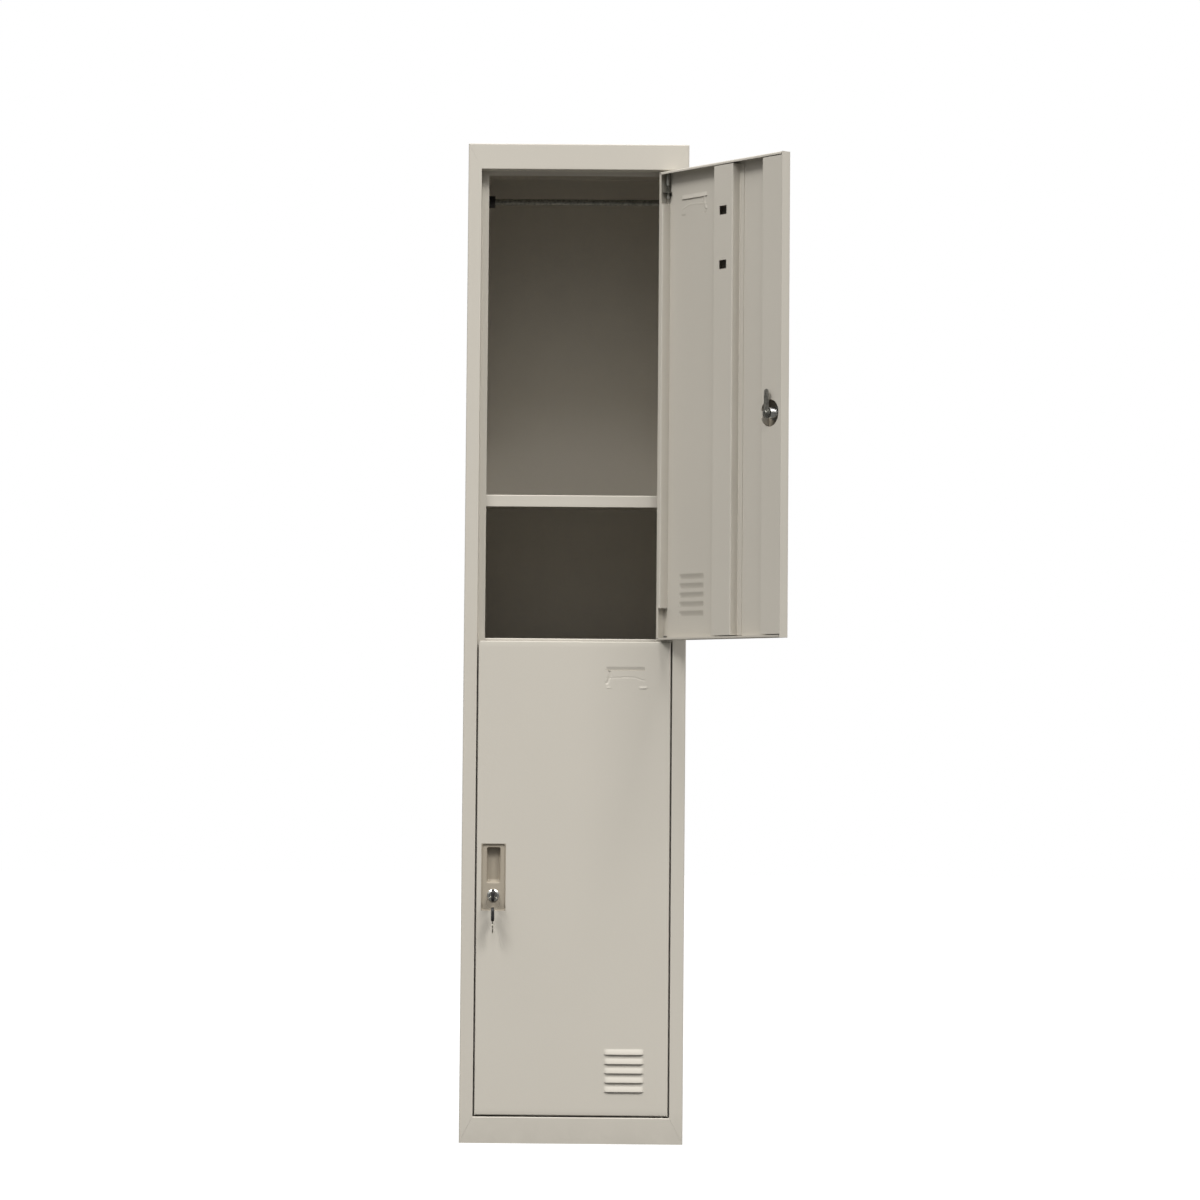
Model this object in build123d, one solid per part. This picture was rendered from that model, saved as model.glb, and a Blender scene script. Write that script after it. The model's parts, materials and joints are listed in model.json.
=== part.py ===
from build123d import *
import os

# Two-tier steel locker, one column wide. Millimetres, +Z up, front towards -Y.
# The origin is on the floor, at the middle of the cabinet's footprint.

# ---------- driving dimensions ----------
WIDTH, DEPTH, HEIGHT = 400.0, 450.0, 1800.0
SHEET = 1.0                 # steel sheet
BEND = 1.5                  # bend radius on the middle of the sheet
STILE = 24.0                # frame face beside the doors
RAIL = 47.0                 # frame face above and below the doors
GAP = 3.0                   # gap round each door
DOOR_THICK = 19.0
STOP_DEPTH = 23.5           # the door stop's face, behind the front of the frame
STOP_LIP = 13.0             # the door stop's width
HEADER_LIP = 8.0            # the lip that hangs behind the header
SEAM = 0.15                 # open line between welded frame faces
SHELF_LIP = 21.0
RETURN = 15.0               # folded edge at the sides and rear of a shelf
BOTTOM_RISE = 6.0           # lower compartment's floor above the base rail
SHELF_RISE = 263.5          # shelf's top above the middle of the gap under its compartment
FLOOR_RISE = 4.0            # compartment floor above the middle of the gap between the doors
ROD_DROP = 76.0             # hanging rod's centre below the roof, or below the compartment floor
OPEN_ANGLE = 128.0          # the upper door stands open by this much at rest

FRONT, BACK = -DEPTH / 2, DEPTH / 2
HALF_W = WIDTH / 2
WEB_IN = HALF_W - SHEET                         # inner face of a side wall
OPENING = HALF_W - STILE                        # half the width of the doorway
STOP_FACE = FRONT + STOP_DEPTH
STOP_BACK = STOP_FACE + SHEET
STOP_EDGE = OPENING - STOP_LIP
DOOR_EDGE = OPENING - GAP                       # half of a door's width
DOOR_WIDTH = 2 * DOOR_EDGE
MIDDLE = HEIGHT / 2
DOOR_HEIGHT = (HEIGHT - 2 * RAIL - 3 * GAP) / 2
LOWER_Z = RAIL + GAP                            # bottom of the lower door
UPPER_Z = MIDDLE + GAP / 2                      # bottom of the upper door
FIT = 0.1                                       # play round pieces that only rest together
REAR_IN = BACK - 2 * SHEET - 2 * FIT            # inner face of the rear wall

# hinge axis, at the right-hand side
HINGE_X = DOOR_EDGE - 10.5
HINGE_Y = FRONT + 5.5
PIN_R = 3.0
PIN_PLAY = 0.07
NOTCH = 58.0                # cut-out in the door's hinge box, round the pin
STUD_HALF = 10.0            # half the length of the middle pivot
# the spring pin, as (radius, from, to) along the axis from the door's end
PIN_TIP, PIN_BODY = (PIN_R, -7.0, 3.0), (4.2, 2.5, 24.0)
PIN_TAIL, PIN_HEAD = (2.5, 23.0, 45.0), (3.6, 44.0, 48.0)
SPRING_R, SPRING_BORE_R, SPRING_FROM, SPRING_TO = 4.0, 3.0, 24.1, 35.9
BRACKET_FROM, BRACKET_THICK, BRACKET_TAB, BRACKET_HOLE_R = 36.0, 1.5, 43.0, 2.6

# door stiffening, measured from the hinge edge
BOX_LIP = 11.0
HAT_FROM, HAT_TO, HAT_FOOT = 157.0, 210.0, 12.0
HAT_HOLES = (87.0, 184.0)   # the square holes, below the door's top
CHANNEL_FROM = 292.0
CHANNEL_FOOT = 12.0

# louvres and label pocket, measured from the hinge edge
LOUVRE_EDGE, LOUVRE_LONG, LOUVRE_TALL, LOUVRE_OUT = 44.0, 70.0, 10.0, 3.2
LOUVRE_FIRST, LOUVRE_PITCH, LOUVRES = 43.0, 16.6, 5
LABEL_EDGE, LABEL_LONG, LABEL_DROP, LABEL_TALL = 45.0, 72.0, 45.0, 38.0
LABEL_SLOT, LABEL_DEEP, LABEL_TAB = 6.5, 2.0, 9.0

# recessed handle and lock
LATCH_X = -DOOR_EDGE + 30.5
TRAY_W, TRAY_H, TRAY_DEEP = 44.0, 120.0, 2.5
POCKET_W, POCKET_H, POCKET_LOW, POCKET_DEEP = 25.0, 64.0, -10.5, 12.5
POCKET_LEDGE = 5.0          # height of the slope at the finger pocket's foot
POCKET_FOOT = 3.0           # depth of the pocket where that slope ends
TRAY_FLANGE, TRAY_INSET = 5.0, 6.0      # welding flange behind the tray: how far out, and in from its sides
LOCK_DROP = 32.5            # lock below the middle of the handle
BARREL_R, FACE_R, PLUG_R = 9.5, 11.0, 6.5
ACCESS_R = 24.0             # round hole in the lock channel
CAM_LONG, CAM_WIDE, CAM_THICK = 42.0, 11.5, 2.0
CAM_Y = STOP_BACK + 0.8     # the cam's front face, just behind the door stop
KEYWAY = (2.4, 7.6, 24.0)   # wide, tall, and the depth from which its floor is set
PLUG_BACK = 0.9             # plug's face, behind the front of the door
SQUARE = 4.0                # half the side of the plug's square end
NUT_R, NUT_THICK = 13.5, 4.0
CAM_BOSS_R = 8.5
WASHER_R, WASHER_THICK = 6.5, 1.0
HEAD_R, HEAD_TALL, CROSS_LONG, CROSS_WIDE = 4.0, 2.4, 5.2, 1.0

# keys and ring
BLADE = (2.0, 7.0, 21.5)
BOW_THICK, BOW_TALL, BOW_LONG = 5.5, 22.0, 25.0
BOW_HOLE_R, BOW_HOLE_IN = 3.0, 5.5
RING_R, WIRE_R = 11.25, 0.6
RING_SAG = 1.9              # the ring's wire below the middle of the bow's hole


# ---------- helpers ----------
def slab(x0, x1, y0, y1, z0, z1):
    """A rectangular block between two corners."""
    return Pos((x0 + x1) / 2, (y0 + y1) / 2, (z0 + z1) / 2) * Box(
        abs(x1 - x0), abs(y1 - y0), abs(z1 - z0)
    )


def sheet_profile(points):
    """Section of a folded sheet, from the points along the middle of its thickness."""
    line = FilletPolyline(*points, radius=BEND) if len(points) > 2 else Polyline(*points)
    return trace(line, line_width=SHEET)


def folded_upright(points, z0, z1):
    """Folded sheet with its bends along Z; points are (x, y)."""
    return extrude(Pos(0, 0, z0) * sheet_profile(points), amount=z1 - z0)


def folded_across(points, x0, x1):
    """Folded sheet with its bends along X; points are (y, z)."""
    return extrude(Pos(x0, 0, 0) * (Plane.YZ * sheet_profile(points)), amount=x1 - x0, dir=(1, 0, 0))


def disc_y(x, z, radius, y0, y1):
    """A cylinder along Y between y0 and y1."""
    return Pos(x, (y0 + y1) / 2, z) * Rot(90, 0, 0) * Cylinder(radius, y1 - y0)


def disc_z(x, y, radius, z0, z1):
    """A cylinder along Z between z0 and z1."""
    return Pos(x, y, (z0 + z1) / 2) * Cylinder(radius, z1 - z0)


def rounded_y(x, z, wide, tall, corner, y0, y1):
    """A block with rounded corners as seen from the front, between y0 and y1."""
    outline = Plane.XZ * RectangleRounded(wide, tall, corner)
    return Pos(x, y1, z) * extrude(outline, amount=y1 - y0)


def prism_y(points, y0, y1):
    """A prism along Y from (x, z) corner points."""
    face = Plane.XZ * make_face(Polyline(*points, close=True))
    return Pos(0, y0, 0) * extrude(face, amount=y1 - y0, dir=(0, 1, 0))


def prism_x(points, x0, x1):
    """A prism along X from (y, z) corner points."""
    face = Plane.YZ * make_face(Polyline(*points, close=True))
    return Pos(x0, 0, 0) * extrude(face, amount=x1 - x0, dir=(1, 0, 0))


# ---------- cabinet ----------
def side_panel(side):
    """Side wall with the frame's stile in front and a flange behind; side is -1 left, 1 right."""
    mid = side * (HALF_W - SHEET / 2)
    points = [
        (side * (HALF_W - 16), BACK - SHEET / 2),
        (mid, BACK - SHEET / 2),
        (mid, FRONT + SHEET / 2),
        (side * OPENING, FRONT + SHEET / 2),
    ]
    panel = folded_upright(points, 0, HEIGHT)
    for end in (0, HEIGHT):
        inward = RAIL if end == 0 else -RAIL
        corner = [
            (side * (HALF_W + 1), end - inward / STILE),
            (side * (OPENING - 1), end + inward + inward / STILE + SEAM),
            (side * (OPENING - 1), end - inward / STILE),
        ]
        panel -= prism_y(corner, FRONT - 1, FRONT + SHEET + BEND)
    return panel


def rail_end_cutters(z_outer, z_inner):
    """Cutters that mitre a rail's face and clear its flange and lip from the door stops."""
    run = z_inner - z_outer
    cutters = []
    for side in (-1, 1):
        mitre = [
            (side * (HALF_W - SEAM), z_outer),
            (side * (OPENING - SEAM), z_inner),
            (side * (OPENING - SEAM), z_inner + run),
            (side * (HALF_W + 5), z_inner + run),
            (side * (HALF_W + 5), z_outer),
        ]
        cutters.append(prism_y(mitre, FRONT - 1, FRONT + SHEET + 0.01))
        outside, low, high = side * (HALF_W + 5), z_inner - 12, z_inner + 12
        cutters.append(slab(side * (OPENING - FIT), outside, FRONT + SHEET, STOP_BACK + 1, low, high))
        cutters.append(slab(side * (STOP_EDGE - FIT), outside, STOP_FACE - BEND, STOP_BACK + 1, low, high))
    return cutters


def top_panel():
    """Roof, header and the lip behind the header, folded from one sheet."""
    top, low = HEIGHT - SHEET / 2, HEIGHT - RAIL + SHEET / 2
    points = [
        (REAR_IN - SHEET / 2, top - 14),
        (REAR_IN - SHEET / 2, top),
        (FRONT + SHEET / 2, top),
        (FRONT + SHEET / 2, low),
        (STOP_BACK - SHEET / 2, low),
        (STOP_BACK - SHEET / 2, HEIGHT - RAIL - HEADER_LIP),
    ]
    panel = folded_across(points, -HALF_W, HALF_W)
    for cutter in rail_end_cutters(HEIGHT, HEIGHT - RAIL):
        panel -= cutter
    for side in (-1, 1):
        outside, under = side * (HALF_W + 1), HEIGHT - 20
        panel -= slab(side * (WEB_IN - FIT), outside, FRONT + SHEET, BACK, under, HEIGHT + 1)
        panel -= slab(side * (WEB_IN - BEND), outside, FRONT + SHEET, FRONT + 2 * BEND, under, HEIGHT + 1)
    return panel - disc_z(HINGE_X, HINGE_Y, PIN_R + PIN_PLAY, low - 2, low + 2)


def base_rail():
    """Front of the plinth, with the flange and lip that the lower door closes on."""
    high = RAIL - SHEET / 2
    points = [
        (FRONT + SHEET / 2, 0),
        (FRONT + SHEET / 2, high),
        (STOP_BACK - SHEET / 2, high),
        (STOP_BACK - SHEET / 2, RAIL + BOTTOM_RISE),
    ]
    rail = folded_across(points, -HALF_W, HALF_W)
    for cutter in rail_end_cutters(0, RAIL):
        rail -= cutter
    return rail - disc_z(HINGE_X, HINGE_Y, PIN_R + PIN_PLAY, high - 2, high + 2)


def door_stop(side):
    """Angle behind the stile, welded from two strips: one lines the doorway, one stops the doors."""
    low, high = SHEET + 0.5, HEIGHT - 2 * SHEET - BEND
    outer = side * (OPENING + SHEET)
    liner = slab(side * OPENING, outer, FRONT + SHEET, STOP_FACE - SEAM, low, high)
    stop = slab(side * STOP_EDGE, outer, STOP_FACE, STOP_BACK, low, high)
    return [liner, stop]


def back_panel():
    """Flat rear wall, in front of the side walls' flanges."""
    edge = WEB_IN - BEND
    return slab(-edge, edge, BACK - 2 * SHEET - FIT, BACK - SHEET - FIT, SHEET + 1, HEIGHT)


def base_frame():
    """Flat ring inside the foot of the cabinet, level with the floor."""
    edge, front, back = WEB_IN - FIT, FRONT + BEND + FIT, BACK - BEND - FIT
    ring = slab(-edge, edge, front, back, 0, SHEET)
    return ring - slab(-edge + 22, edge - 22, front + 22, back - 22, -1, SHEET + 1)


def tray_between_walls(top, front_drop):
    """A shelf with its edges folded down; the front edge lies between the door stops."""
    mid = top - SHEET / 2
    y_front, y_rear = STOP_FACE + SHEET / 2, REAR_IN - SHEET / 2
    points = [(y_front, top - front_drop), (y_front, mid), (y_rear, mid), (y_rear, top - RETURN)]
    edge = WEB_IN - FIT
    shelf = folded_across(points, -edge, edge)
    for side in (-1, 1):
        shelf -= slab(side * (STOP_EDGE - FIT), side * HALF_W, FRONT, STOP_BACK + FIT, top - 60, top + 1)
        rim = slab(side * (edge - SHEET), side * edge, STOP_BACK + 3, REAR_IN - 3, top - RETURN, top - SHEET)
        shelf += rim
    return shelf


def bottom_panel():
    """Floor of the lower compartment, behind the base rail's lip."""
    top = RAIL + BOTTOM_RISE
    edge = WEB_IN - FIT
    points = [
        (STOP_BACK + FIT, top - SHEET / 2),
        (REAR_IN - SHEET / 2, top - SHEET / 2),
        (REAR_IN - SHEET / 2, top - RETURN),
    ]
    panel = folded_across(points, -edge, edge)
    for side in (-1, 1):
        panel += slab(
            side * (edge - SHEET), side * edge, STOP_BACK + 3, REAR_IN - 3, top - RETURN, top - SHEET
        )
    return panel


def shelf_clips(top):
    """Four angle clips on the side walls, under a shelf."""
    clips = []
    under = top - RETURN - FIT
    for side in (-1, 1):
        wall = side * (WEB_IN - 0.05)
        for y in (-150, 150):
            leg = slab(wall, wall - side * 1.5, y - 12, y + 12, under - 14, under)
            foot = slab(wall, wall - side * 10, y - 12, y + 12, under - 1.5, under)
            clips.append(leg + foot)
    return clips


def rod(z):
    """Hanging rod: a steel tube across the compartment."""
    tube = Cylinder(6, 2 * (WEB_IN - 5)) - Cylinder(5, 2 * WEB_IN)
    return Pos(0, 0, z) * Rot(0, 90, 0) * tube


def rod_sockets(z):
    """Moulded cups on the side walls that hold the rod's ends."""
    cups = []
    for side in (-1, 1):
        wall = side * (WEB_IN - 0.05)
        flange = Pos(wall - side * 1.5, 0, z) * Rot(0, 90, 0) * Cylinder(17, 3)
        sleeve = Pos(wall - side * 20, 0, z) * Rot(0, 90, 0) * Cylinder(11, 40)
        bore = Pos(wall - side * 23.5, 0, z) * Rot(0, 90, 0) * Cylinder(6 + FIT, 40)
        cups.append(flange + sleeve - bore)
    return cups


def middle_hinge_bracket():
    """Plate welded to the frame, in the gap between the doors."""
    plate = slab(HINGE_X - 8, OPENING, FRONT + 1, STOP_FACE - BEND, MIDDLE - 0.8, MIDDLE + 0.8)
    return plate - disc_z(HINGE_X, HINGE_Y, PIN_R + 0.02, MIDDLE - 2, MIDDLE + 2)


def middle_pivot_stud():
    """Double-ended pivot that both doors turn on."""
    stud = disc_z(HINGE_X, HINGE_Y, PIN_R, MIDDLE - STUD_HALF, MIDDLE + STUD_HALF)
    return chamfer(stud.edges(), 0.6)


# ---------- doors, made closed ----------
def from_hinge(distance):
    """X of a place measured from a closed door's hinge edge."""
    return DOOR_EDGE - distance


def louvre(z):
    """Pressed hood that opens downwards, and the slot to cut behind it."""
    x0, x1 = from_hinge(LOUVRE_EDGE + LOUVRE_LONG), from_hinge(LOUVRE_EDGE)

    def hood(grow, low):
        points = [
            (FRONT + SHEET, z + LOUVRE_TALL - SHEET + grow),
            (FRONT, z + LOUVRE_TALL - SHEET + grow),
            (FRONT - LOUVRE_OUT + SHEET - grow, z + low + 2),
            (FRONT - LOUVRE_OUT + SHEET - grow, z + low),
            (FRONT + SHEET, z + low),
        ]
        inset = SHEET - grow
        return prism_x(points, x0 + inset, x1 - inset)

    return hood(SHEET, 0), hood(0, -SHEET)


def label_pocket(z_top):
    """Slot for a name card with a pressed shelf behind it, and two corner tabs that hold the card."""
    x0, x1 = from_hinge(LABEL_EDGE + LABEL_LONG), from_hinge(LABEL_EDGE)
    slot = slab(x0, x1, FRONT - 1, FRONT + LABEL_DEEP, z_top - LABEL_SLOT, z_top)
    back = slab(x0 - SHEET, x1 + SHEET, FRONT + SHEET / 2, FRONT + LABEL_DEEP + SHEET,
                z_top - LABEL_SLOT - SHEET, z_top + SHEET)
    tabs = []
    for x, towards in ((x0, 1), (x1, -1)):
        low = z_top - LABEL_TALL
        corners = [(x, low), (x + towards * LABEL_TAB, low), (x, low + LABEL_TAB)]
        tabs.append(prism_y(corners, FRONT - 1.2, FRONT + SHEET / 2))
    return slot, back, tabs


def door_skin(z0):
    """Door panel folded on all four sides, with a closed box along its hinge edge."""
    z1 = z0 + DOOR_HEIGHT
    half = SHEET / 2
    inner = FRONT + DOOR_THICK - half
    edge = DOOR_EDGE - half
    box_x = from_hinge(BOX_LIP) + half
    points = [
        (box_x, FRONT + SHEET + SEAM),
        (box_x, inner),
        (edge, inner),
        (edge, FRONT + half),
        (-edge, FRONT + half),
        (-edge, inner + half),
    ]
    skin = folded_upright(points, z0, z1)
    flat = DOOR_EDGE - BEND - SHEET
    for z_end, inward in ((z0, 1), (z1, -1)):
        strip = sorted((z_end - inward, z_end + inward * 2.6))
        skin -= slab(-flat, flat, FRONT - 1, FRONT + SHEET, *strip)
        notch = sorted((z_end - inward, z_end + inward * NOTCH))
        skin -= slab(box_x - 1, from_hinge(6.5), FRONT + SHEET, FRONT + DOOR_THICK + 1, *notch)
        flange = [
            (FRONT + half, z_end + inward * 6),
            (FRONT + half, z_end + inward * half),
            (inner, z_end + inward * half),
            (inner, z_end + inward * 4.5),
        ]
        skin += folded_across(flange, -flat, flat)
        skin -= disc_z(HINGE_X, HINGE_Y, PIN_R + PIN_PLAY, *sorted((z_end - 2, z_end + 2)))
    for n in range(LOUVRES):
        outer, hollow = louvre(z0 + LOUVRE_FIRST + n * LOUVRE_PITCH)
        skin = skin + outer - hollow
    slot, back, tabs = label_pocket(z1 - LABEL_DROP)
    skin = skin + back - slot
    for tab in tabs:
        skin += tab
    mid_z = z0 + DOOR_HEIGHT / 2
    return skin - rounded_y(LATCH_X, mid_z, TRAY_W + 0.2, TRAY_H + 0.2, 4.1, FRONT - 1, FRONT + 2)


def door_stiffener(z0):
    """Hat channel down the middle of the door, with two square holes near its top."""
    x_a, x_b = from_hinge(HAT_FROM) - SHEET / 2, from_hinge(HAT_TO) + SHEET / 2
    foot, face = FRONT + SHEET * 1.5 + 0.05, FRONT + DOOR_THICK - SHEET / 2
    points = [
        (x_a + HAT_FOOT, foot),
        (x_a, foot),
        (x_a, face),
        (x_b, face),
        (x_b, foot),
        (x_b - HAT_FOOT, foot),
    ]
    hat = folded_upright(points, z0 + 6.3, z0 + DOOR_HEIGHT - 6.3)
    x_mid = (x_a + x_b) / 2
    for drop in HAT_HOLES:
        z = z0 + DOOR_HEIGHT - drop
        hat -= slab(x_mid - 10, x_mid + 10, face - 2, face + 2, z - 8, z + 8)
    return hat


def lock_channel(z0):
    """Boxed strip along the free edge, with a round hole over the lock."""
    x_wall = from_hinge(CHANNEL_FROM) - SHEET / 2
    foot, face = FRONT + SHEET * 1.5 + 0.05, FRONT + DOOR_THICK - SHEET / 2
    points = [(x_wall + CHANNEL_FOOT, foot), (x_wall, foot), (x_wall, face), (-DOOR_EDGE + SHEET + FIT, face)]
    channel = folded_upright(points, z0 + 6.3, z0 + DOOR_HEIGHT - 6.3)
    lock_z = z0 + DOOR_HEIGHT / 2 - LOCK_DROP
    return channel - disc_y(LATCH_X, lock_z, ACCESS_R, face - 2, face + 2)


def handle_plate(z0):
    """Shallow tray with a deep finger pocket above the lock's hole."""
    z = z0 + DOOR_HEIGHT / 2
    floor = FRONT + TRAY_DEEP
    tray = rounded_y(LATCH_X, z, TRAY_W, TRAY_H, 4, FRONT, floor + SHEET)
    flange_w, flange_h = TRAY_W / 2 - TRAY_INSET, TRAY_H / 2 + TRAY_FLANGE
    flange_y = FRONT + SHEET + 0.05
    tray += slab(
        LATCH_X - flange_w, LATCH_X + flange_w, flange_y, floor + SHEET, z - flange_h, z + flange_h
    )
    tray -= rounded_y(LATCH_X, z, TRAY_W - 2, TRAY_H - 2, 3, FRONT - 1, floor)
    pocket_z = z + POCKET_LOW + POCKET_H / 2
    high, low = pocket_z + POCKET_H / 2, pocket_z - POCKET_H / 2

    def pocket(wall):
        deep = floor + POCKET_DEEP
        mouth = floor - (1 - wall)
        points = [
            (mouth, high + wall),
            (deep + wall, high + wall),
            (deep + wall, low + POCKET_LEDGE),
            (floor + POCKET_FOOT + wall, low - wall),
            (mouth, low - wall),
        ]
        half_w = POCKET_W / 2 + wall
        return prism_x(points, LATCH_X - half_w, LATCH_X + half_w)

    return tray + pocket(1) - pocket(0) - disc_y(LATCH_X, z - LOCK_DROP, BARREL_R + 0.05, FRONT, FRONT + 5)


def lock_barrel(z):
    """Threaded lock body with a bright face ring."""
    floor = FRONT + TRAY_DEEP
    body = disc_y(LATCH_X, z, BARREL_R, floor - 0.5, CAM_Y - 1.2)
    ring = disc_y(LATCH_X, z, FACE_R, FRONT - 0.5, floor - 0.05)
    ring = chamfer(ring.edges().sort_by(Axis.Y)[:1], 0.8)
    return body + ring - disc_y(LATCH_X, z, PLUG_R + 0.05, FRONT - 2, CAM_Y + 2)


def lock_nut(z):
    """Hexagon nut that clamps the lock to the handle plate."""
    floor = FRONT + TRAY_DEEP + SHEET + 0.05
    outline = Plane.XZ * RegularPolygon(NUT_R, 6)
    nut = Pos(LATCH_X, floor + NUT_THICK, z) * extrude(outline, amount=NUT_THICK)
    return nut - disc_y(LATCH_X, z, BARREL_R + 0.05, floor - 1, floor + NUT_THICK + 2)


def lock_plug(z):
    """Turning core with its keyway and a square end for the cam."""
    plug = disc_y(LATCH_X, z, PLUG_R, FRONT - PLUG_BACK, CAM_Y - 0.15)
    plug += slab(
        LATCH_X - SQUARE, LATCH_X + SQUARE, CAM_Y - 1, CAM_Y + CAM_THICK - 0.1, z - SQUARE, z + SQUARE
    )
    wide, tall, deep = KEYWAY
    keyway_end = FRONT - PLUG_BACK + deep - 2
    plug -= slab(LATCH_X - wide / 2, LATCH_X + wide / 2, FRONT - 2, keyway_end, z - tall / 2, z + tall / 2)
    return plug


def lock_cam(z):
    """Flat bar that turns behind the door stop; it points up while the lock is open."""
    reach = CAM_LONG - CAM_WIDE / 2
    cam = slab(LATCH_X - CAM_WIDE / 2, LATCH_X + CAM_WIDE / 2, CAM_Y, CAM_Y + CAM_THICK, z, z + reach)
    cam += disc_y(LATCH_X, z + reach, CAM_WIDE / 2, CAM_Y, CAM_Y + CAM_THICK)
    cam += disc_y(LATCH_X, z, CAM_BOSS_R, CAM_Y, CAM_Y + CAM_THICK)
    hole = SQUARE + 0.05
    return cam - slab(LATCH_X - hole, LATCH_X + hole, CAM_Y - 1, CAM_Y + 4, z - hole, z + hole)


def cam_screw(z):
    """Pan-head screw and its washer on the back of the cam."""
    rear = CAM_Y + CAM_THICK + 0.02
    top = rear + WASHER_THICK + HEAD_TALL
    washer = disc_y(LATCH_X, z, WASHER_R, rear, rear + WASHER_THICK)
    head = disc_y(LATCH_X, z, HEAD_R, rear + WASHER_THICK, top)
    head = fillet(head.edges().sort_by(Axis.Y)[-1:], 1.2)
    long, wide = CROSS_LONG / 2, CROSS_WIDE / 2
    cross = slab(LATCH_X - wide, LATCH_X + wide, top - 1, top + 0.6, z - long, z + long)
    cross += slab(LATCH_X - long, LATCH_X + long, top - 1, top + 0.6, z - wide, z + wide)
    return washer + head - cross


def hinge_pin(z_end, inward):
    """Spring pin that holds the door: z_end is the door's end, inward points into the door."""

    def length(radius, start, stop):
        return disc_z(HINGE_X, HINGE_Y, radius, *sorted((z_end + inward * start, z_end + inward * stop)))

    return length(*PIN_TIP) + length(*PIN_BODY) + length(*PIN_TAIL) + length(*PIN_HEAD)


def hinge_spring(z_end, inward):
    """Sleeve of the coil spring's outer size, round the pin's tail."""
    ends = sorted((z_end + inward * SPRING_FROM, z_end + inward * SPRING_TO))
    return disc_z(HINGE_X, HINGE_Y, SPRING_R, *ends) - disc_z(HINGE_X, HINGE_Y, SPRING_BORE_R, *ends)


def pin_bracket(z_end, inward):
    """Small angle welded inside the door, which guides the pin's tail."""
    x0, x1 = from_hinge(16.5), from_hinge(2)
    y0 = FRONT + SHEET + 0.05

    def span(start, stop):
        return sorted((z_end + inward * start, z_end + inward * stop))

    shelf = slab(x0, x1, y0, HINGE_Y + 6, *span(BRACKET_FROM, BRACKET_FROM + BRACKET_THICK))
    tab = slab(x0, x1, y0, y0 + 1.2, *span(BRACKET_FROM, BRACKET_TAB))
    return shelf + tab - disc_z(HINGE_X, HINGE_Y, BRACKET_HOLE_R, *span(BRACKET_FROM - 6, BRACKET_TAB))


def door_parts(z0, pin_at_top):
    """All the pieces of one closed door; the spring pin is at its top or at its foot."""
    lock_z = z0 + DOOR_HEIGHT / 2 - LOCK_DROP
    pin_end = (z0 + DOOR_HEIGHT, -1) if pin_at_top else (z0, 1)
    return {
        "door_skin": door_skin(z0),
        "door_stiffener": door_stiffener(z0),
        "lock_channel": lock_channel(z0),
        "handle_plate": handle_plate(z0),
        "lock_barrel": lock_barrel(lock_z),
        "lock_nut": lock_nut(lock_z),
        "lock_plug": lock_plug(lock_z),
        "lock_cam": lock_cam(lock_z),
        "cam_screw": cam_screw(lock_z),
        "hinge_pin": hinge_pin(*pin_end),
        "hinge_spring": hinge_spring(*pin_end),
        "pin_bracket": pin_bracket(*pin_end),
    }


# ---------- keys ----------
def key_bow(hole_y, z):
    """Moulded key grip in the YZ plane; its hole is at hole_y, and its blade leaves towards +Y."""
    y0 = hole_y - BOW_HOLE_IN
    outline = Plane.YZ * (Pos(y0 + BOW_LONG / 2, z) * RectangleRounded(BOW_LONG, BOW_TALL, 7))
    bow = extrude(Pos(LATCH_X - BOW_THICK / 2, 0, 0) * outline, amount=BOW_THICK)
    bow -= Pos(LATCH_X, hole_y, z) * Rot(0, 90, 0) * Cylinder(BOW_HOLE_R, BOW_THICK + 2)
    root = y0 + BOW_LONG
    return bow - slab(LATCH_X - 1.05, LATCH_X + 1.05, root - 6, root + 1, z - 3.6, z + 3.6)


def key_blade(hole_y, z):
    """Flat key blade with shallow cuts along its lower edge."""
    wide, tall, long = BLADE
    root = hole_y - BOW_HOLE_IN + BOW_LONG
    tip = root + long
    points = [(root - 5.9, z + tall / 2), (tip - 3, z + tall / 2), (tip, z), (tip - 2, z - tall / 2 + 0.5)]
    for n, cut in enumerate((1.6, 0.6, 2.0, 1.0)):
        y = tip - 4 - n * 3.6
        points += [(y, z - tall / 2 + 0.4), (y - 1.2, z - tall / 2 + cut), (y - 2.4, z - tall / 2 + cut)]
    points += [(root, z - tall / 2), (root - 5.9, z - tall / 2)]
    return prism_x(points, LATCH_X - wide / 2, LATCH_X + wide / 2)


def key_parts(z):
    """The key in the lower lock, its ring, and the second key that hangs from the ring."""
    root_y = FRONT - PLUG_BACK - 0.3
    hole_y = root_y - BOW_LONG + BOW_HOLE_IN
    wire_top = z - RING_SAG
    ring = Pos(LATCH_X, hole_y, wire_top - RING_R) * Rot(90, 0, 0) * Torus(RING_R, WIRE_R)
    spare_hole = wire_top - 2 * RING_R - RING_SAG
    hang = Pos(LATCH_X, hole_y, spare_hole) * Rot(-90, 0, 0) * Pos(-LATCH_X, -hole_y, -z)
    return {
        "key_bow": key_bow(hole_y, z),
        "key_blade": key_blade(hole_y, z),
        "key_ring": ring,
        "spare_key_bow": hang * key_bow(hole_y, z),
        "spare_key_blade": hang * key_blade(hole_y, z),
    }


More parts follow.
